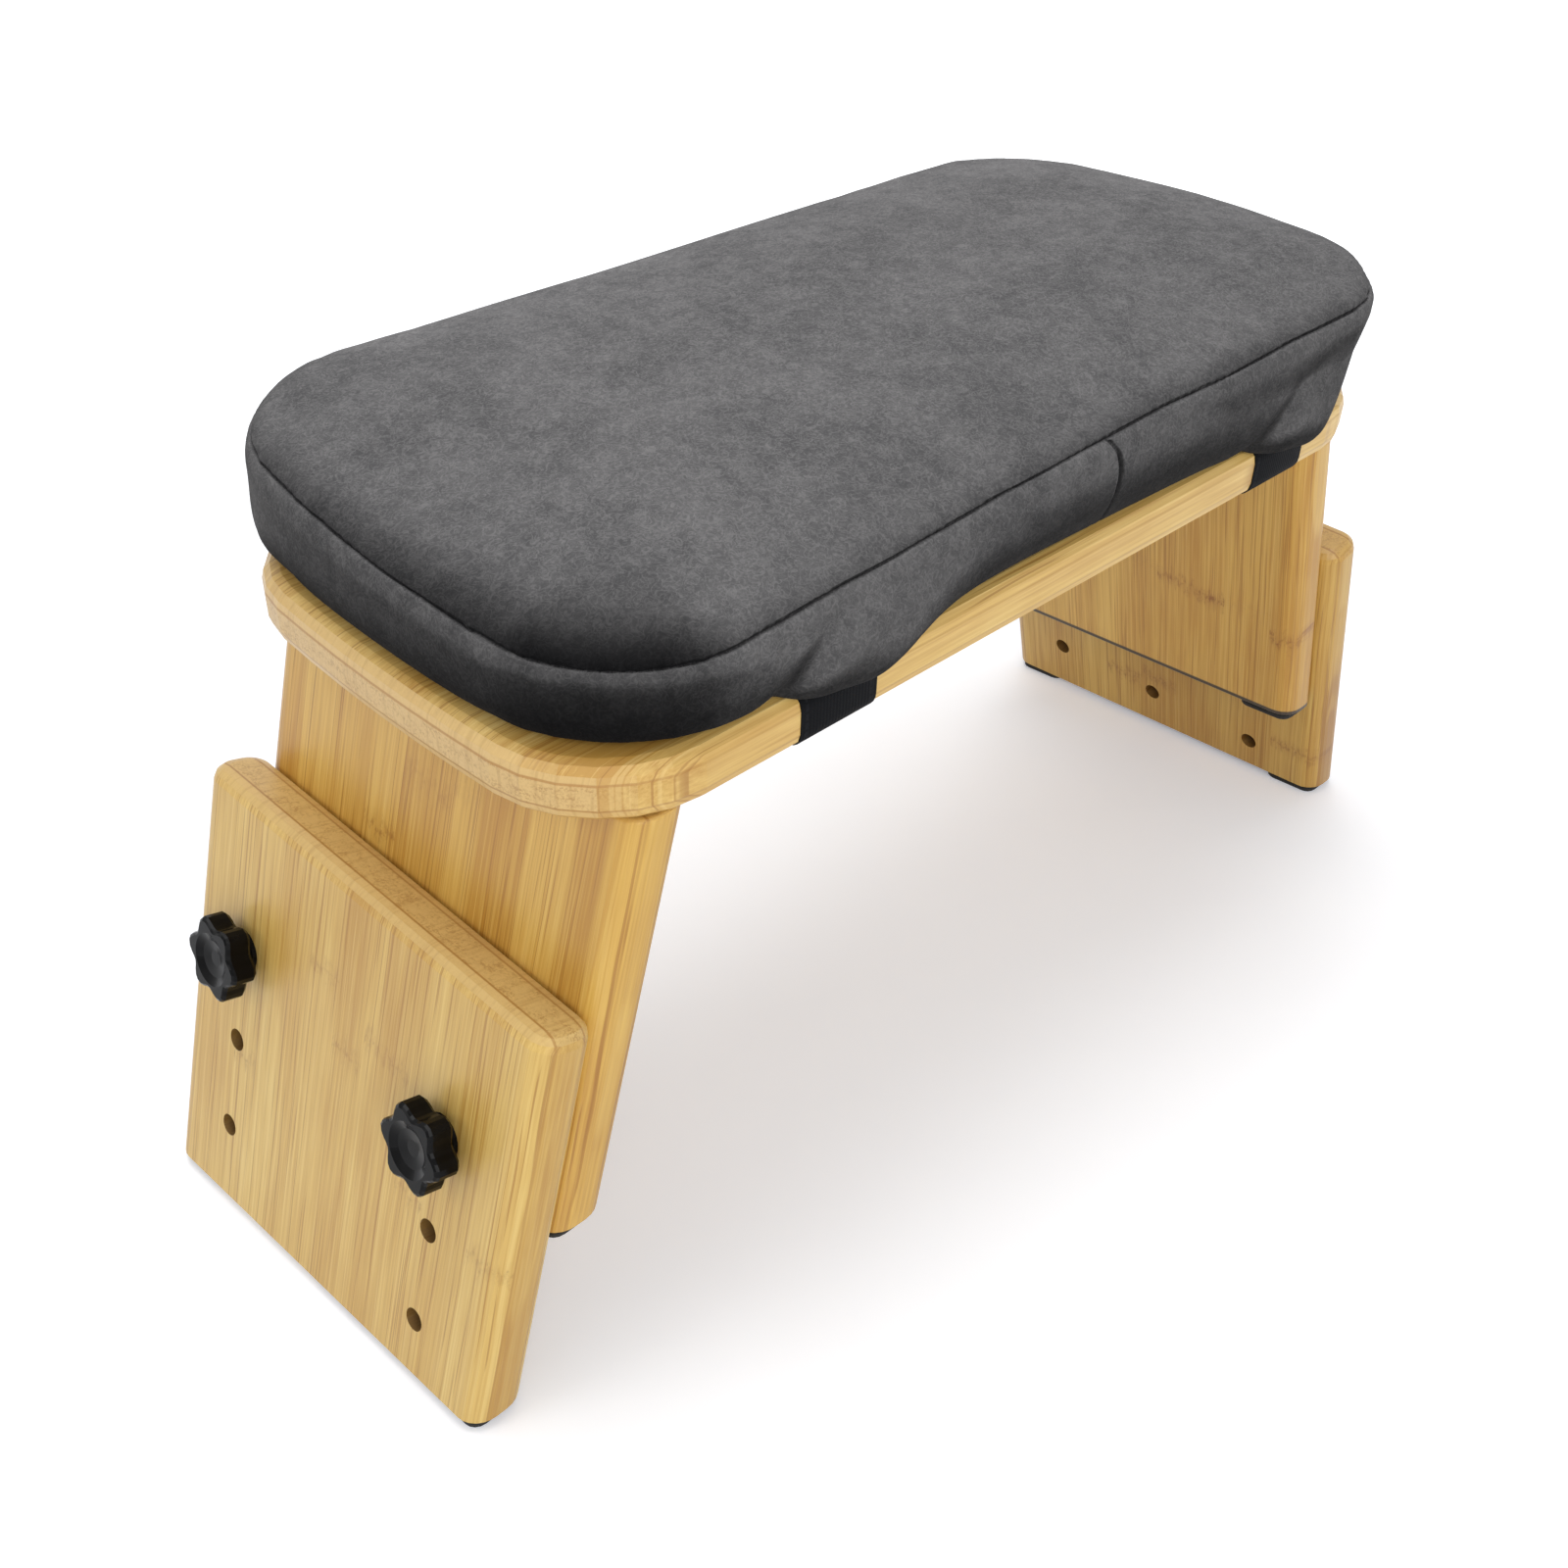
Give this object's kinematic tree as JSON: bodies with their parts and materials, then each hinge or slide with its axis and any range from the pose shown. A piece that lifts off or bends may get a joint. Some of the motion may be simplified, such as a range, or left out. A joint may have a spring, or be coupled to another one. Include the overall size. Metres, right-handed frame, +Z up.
{
  "type": "kneeling stool",
  "caption": "Bamboo kneeling stool with a strapped-on cushion, splayed folding legs and height panels clamped by star knobs.",
  "frame": {"origin": "on the floor, under the middle of the bounding box", "axes": "+X along the seat, from the left panel to the right one; -Y is the seat's lower front edge; +Z up"},
  "size_m": [0.5394, 0.2208, 0.3023],
  "materials": {
    "bamboo": "satin varnish",
    "fabric": "charcoal velour",
    "webbing": "black elastic webbing",
    "plastic": "gloss black",
    "rubber": "matt black",
    "steel": "plain zinc plated",
    "brass": "plain"
  },
  "bodies": {
    "seat": {"seat_plank": "bamboo", "cushion": "fabric", "strap_left": "webbing", "strap_right": "webbing", "hinge_seat_leaf_left_front": "steel", "hinge_seat_leaf_left_back": "steel", "hinge_seat_leaf_right_front": "steel", "hinge_seat_leaf_right_back": "steel", "hinge_pin_left_front": "steel", "hinge_pin_left_back": "steel", "hinge_pin_right_front": "steel", "hinge_pin_right_back": "steel", "seat_screw_left_front_1": "steel", "seat_screw_left_front_2": "steel", "seat_screw_left_back_1": "steel", "seat_screw_left_back_2": "steel", "seat_screw_right_front_1": "steel", "seat_screw_right_front_2": "steel", "seat_screw_right_back_1": "steel", "seat_screw_right_back_2": "steel"},
    "left_leg": {"leg_left": "bamboo", "insert_left_front": "brass", "insert_left_back": "brass", "hinge_leg_leaf_left_front": "steel", "hinge_leg_leaf_left_back": "steel", "leg_screw_left_front_1": "steel", "leg_screw_left_front_2": "steel", "leg_screw_left_back_1": "steel", "leg_screw_left_back_2": "steel", "leg_pad_left_front": "rubber", "leg_pad_left_back": "rubber"},
    "right_leg": {"leg_right": "bamboo", "insert_right_front": "brass", "insert_right_back": "brass", "hinge_leg_leaf_right_front": "steel", "hinge_leg_leaf_right_back": "steel", "leg_screw_right_front_1": "steel", "leg_screw_right_front_2": "steel", "leg_screw_right_back_1": "steel", "leg_screw_right_back_2": "steel", "leg_pad_right_front": "rubber", "leg_pad_right_back": "rubber"},
    "left_panel": {"panel_left": "bamboo", "panel_pad_left_front": "rubber", "panel_pad_left_back": "rubber"},
    "right_panel": {"panel_right": "bamboo", "panel_pad_right_front": "rubber", "panel_pad_right_back": "rubber"},
    "left_front_washer": {"washer_left_front": "steel"},
    "left_back_washer": {"washer_left_back": "steel"},
    "right_front_washer": {"washer_right_front": "steel"},
    "right_back_washer": {"washer_right_back": "steel"},
    "left_front_knob": {"knob_left_front": "plastic", "stud_left_front": "steel"},
    "left_back_knob": {"knob_left_back": "plastic", "stud_left_back": "steel"},
    "right_front_knob": {"knob_right_front": "plastic", "stud_right_front": "steel"},
    "right_back_knob": {"knob_right_back": "plastic", "stud_right_back": "steel"}
  },
  "joints": [
    {"name": "left_leg_fold", "type": "hinge", "parent": "seat", "child": "left_leg", "pos_m": [-0.16108, -0.00269, 0.21621], "axis": [0, 0.9969, 0.0785], "range_deg": [-105, 0]},
    {"name": "right_leg_fold", "type": "hinge", "parent": "seat", "child": "right_leg", "pos_m": [0.16108, -0.00269, 0.21621], "axis": [0, 0.9969, 0.0785], "range_deg": [0, 105]},
    {"name": "left_panel_release", "type": "slide", "parent": "left_leg", "child": "left_panel", "axis": [-0.9659, -0.0203, 0.258], "range_m": [0, 0.04]},
    {"name": "right_panel_release", "type": "slide", "parent": "right_leg", "child": "right_panel", "axis": [0.9659, -0.0203, 0.258], "range_m": [0, 0.04]},
    {"name": "left_front_knob_travel", "type": "slide", "parent": "left_panel", "child": "left_front_washer", "axis": [-0.9659, -0.0203, 0.258], "range_m": [0, 0.013]},
    {"name": "left_back_knob_travel", "type": "slide", "parent": "left_panel", "child": "left_back_washer", "axis": [-0.9659, -0.0203, 0.258], "range_m": [0, 0.013]},
    {"name": "right_front_knob_travel", "type": "slide", "parent": "right_panel", "child": "right_front_washer", "axis": [0.9659, -0.0203, 0.258], "range_m": [0, 0.013]},
    {"name": "right_back_knob_travel", "type": "slide", "parent": "right_panel", "child": "right_back_washer", "axis": [0.9659, -0.0203, 0.258], "range_m": [0, 0.013]},
    {"name": "left_front_knob_turn", "type": "hinge", "parent": "left_front_washer", "child": "left_front_knob", "pos_m": [-0.24077, -0.05106, 0.10053], "axis": [-0.9659, -0.0203, 0.258], "range_deg": [0, 3744]},
    {"name": "left_back_knob_turn", "type": "hinge", "parent": "left_back_washer", "child": "left_back_knob", "pos_m": [-0.24077, 0.06618, 0.10975], "axis": [-0.9659, -0.0203, 0.258], "range_deg": [0, 3744]},
    {"name": "right_front_knob_turn", "type": "hinge", "parent": "right_front_washer", "child": "right_front_knob", "pos_m": [0.24077, -0.05106, 0.10053], "axis": [0.9659, -0.0203, 0.258], "range_deg": [0, 3744]},
    {"name": "right_back_knob_turn", "type": "hinge", "parent": "right_back_washer", "child": "right_back_knob", "pos_m": [0.24077, 0.06618, 0.10975], "axis": [0.9659, -0.0203, 0.258], "range_deg": [0, 3744]}
  ],
  "couplings": [
    {"joint": "left_front_knob_travel", "follows": "left_front_knob_turn", "m_per_rad": 0.00019894},
    {"joint": "left_back_knob_travel", "follows": "left_back_knob_turn", "m_per_rad": 0.00019894},
    {"joint": "right_front_knob_travel", "follows": "right_front_knob_turn", "m_per_rad": 0.00019894},
    {"joint": "right_back_knob_travel", "follows": "right_back_knob_turn", "m_per_rad": 0.00019894}
  ]
}
